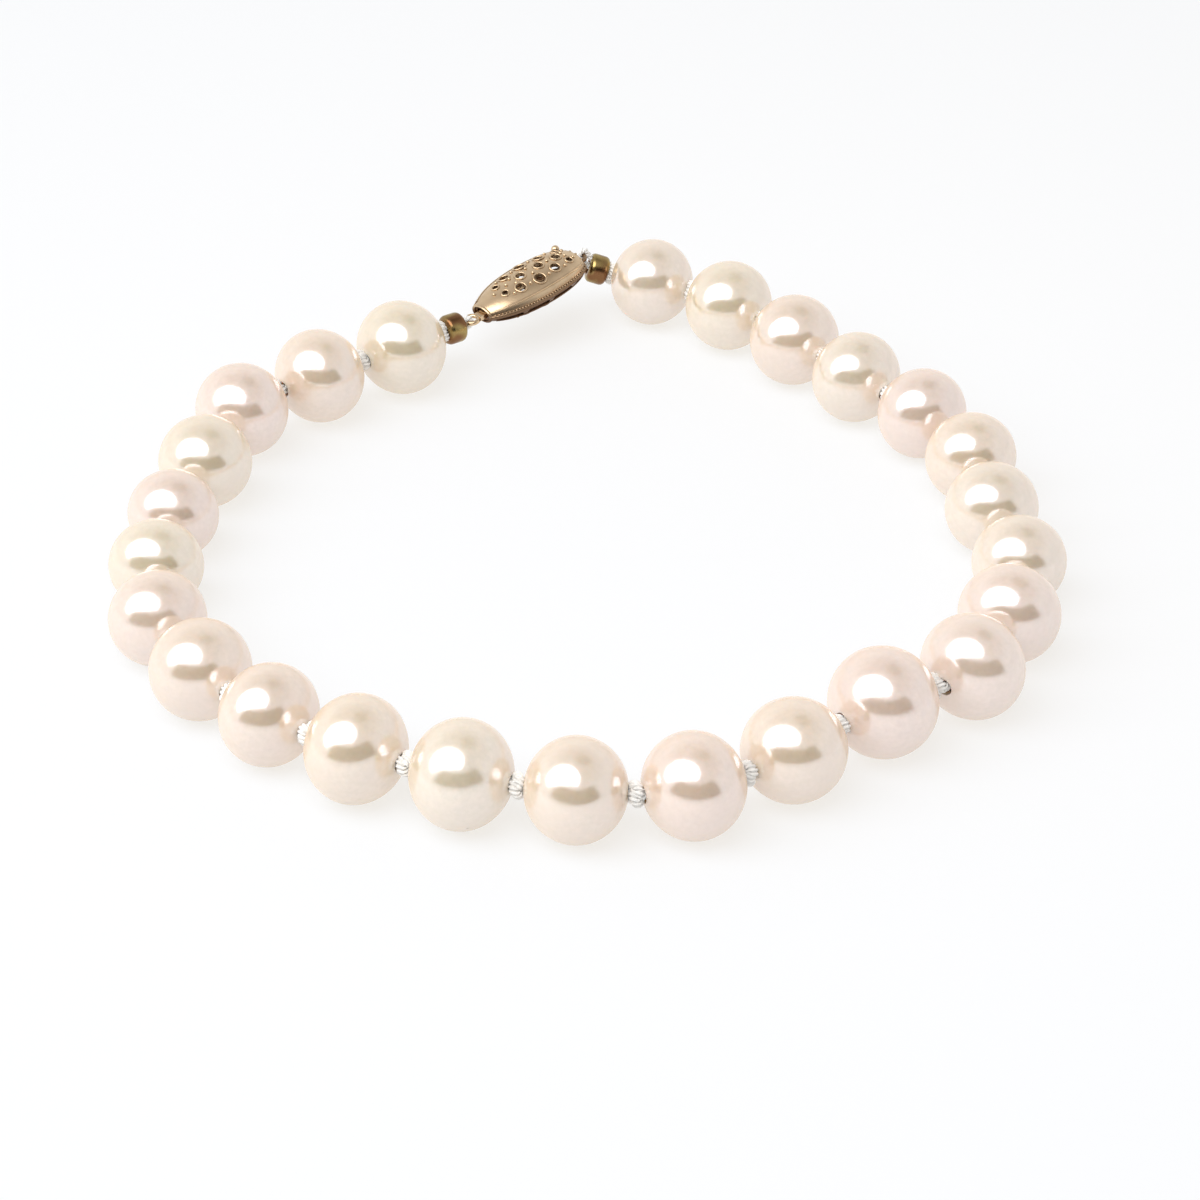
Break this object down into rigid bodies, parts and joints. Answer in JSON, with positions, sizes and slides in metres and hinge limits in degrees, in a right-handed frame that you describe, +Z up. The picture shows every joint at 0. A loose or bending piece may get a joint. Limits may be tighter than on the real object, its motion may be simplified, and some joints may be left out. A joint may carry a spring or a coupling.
{
  "type": "pearl bracelet",
  "caption": "Hand-knotted string of round pearls lying as one closed loop, fastened by an oval pierced gold fish-hook clasp with a small gold bead on each side.",
  "frame": {"origin": "on the table, below the middle of the bracelet's bounding box", "axes": "+Z up, +Y from the front of the loop to the clasp at its back, +X to the wearer's view right; the pearls lie on z = 0"},
  "size_m": [0.0624, 0.0698, 0.007],
  "materials": {
    "nacre_cream": "satin gloss",
    "nacre_peach": "satin gloss",
    "nacre_rose": "satin gloss",
    "silk": "twisted silk",
    "clasp_gold": "polished and textured",
    "bead_gold": "polished"
  },
  "bodies": {
    "root": {"pearl_01": "nacre_cream", "pearl_02": "nacre_peach", "pearl_03": "nacre_rose", "pearl_04": "nacre_cream", "pearl_05": "nacre_rose", "pearl_06": "nacre_cream", "pearl_07": "nacre_rose", "pearl_08": "nacre_peach", "pearl_09": "nacre_peach", "pearl_10": "nacre_peach", "pearl_11": "nacre_cream", "pearl_12": "nacre_peach", "pearl_13": "nacre_rose", "pearl_14": "nacre_peach", "pearl_15": "nacre_rose", "pearl_16": "nacre_rose", "pearl_17": "nacre_rose", "pearl_18": "nacre_cream", "pearl_19": "nacre_cream", "pearl_20": "nacre_peach", "pearl_21": "nacre_rose", "pearl_22": "nacre_cream", "pearl_23": "nacre_peach", "pearl_24": "nacre_cream", "pearl_25": "nacre_cream", "silk_thread": "silk", "end_bead_hook": "bead_gold", "end_bead_case": "bead_gold", "clasp_case": "clasp_gold", "clasp_hook": "clasp_gold"}
  },
  "joints": []
}
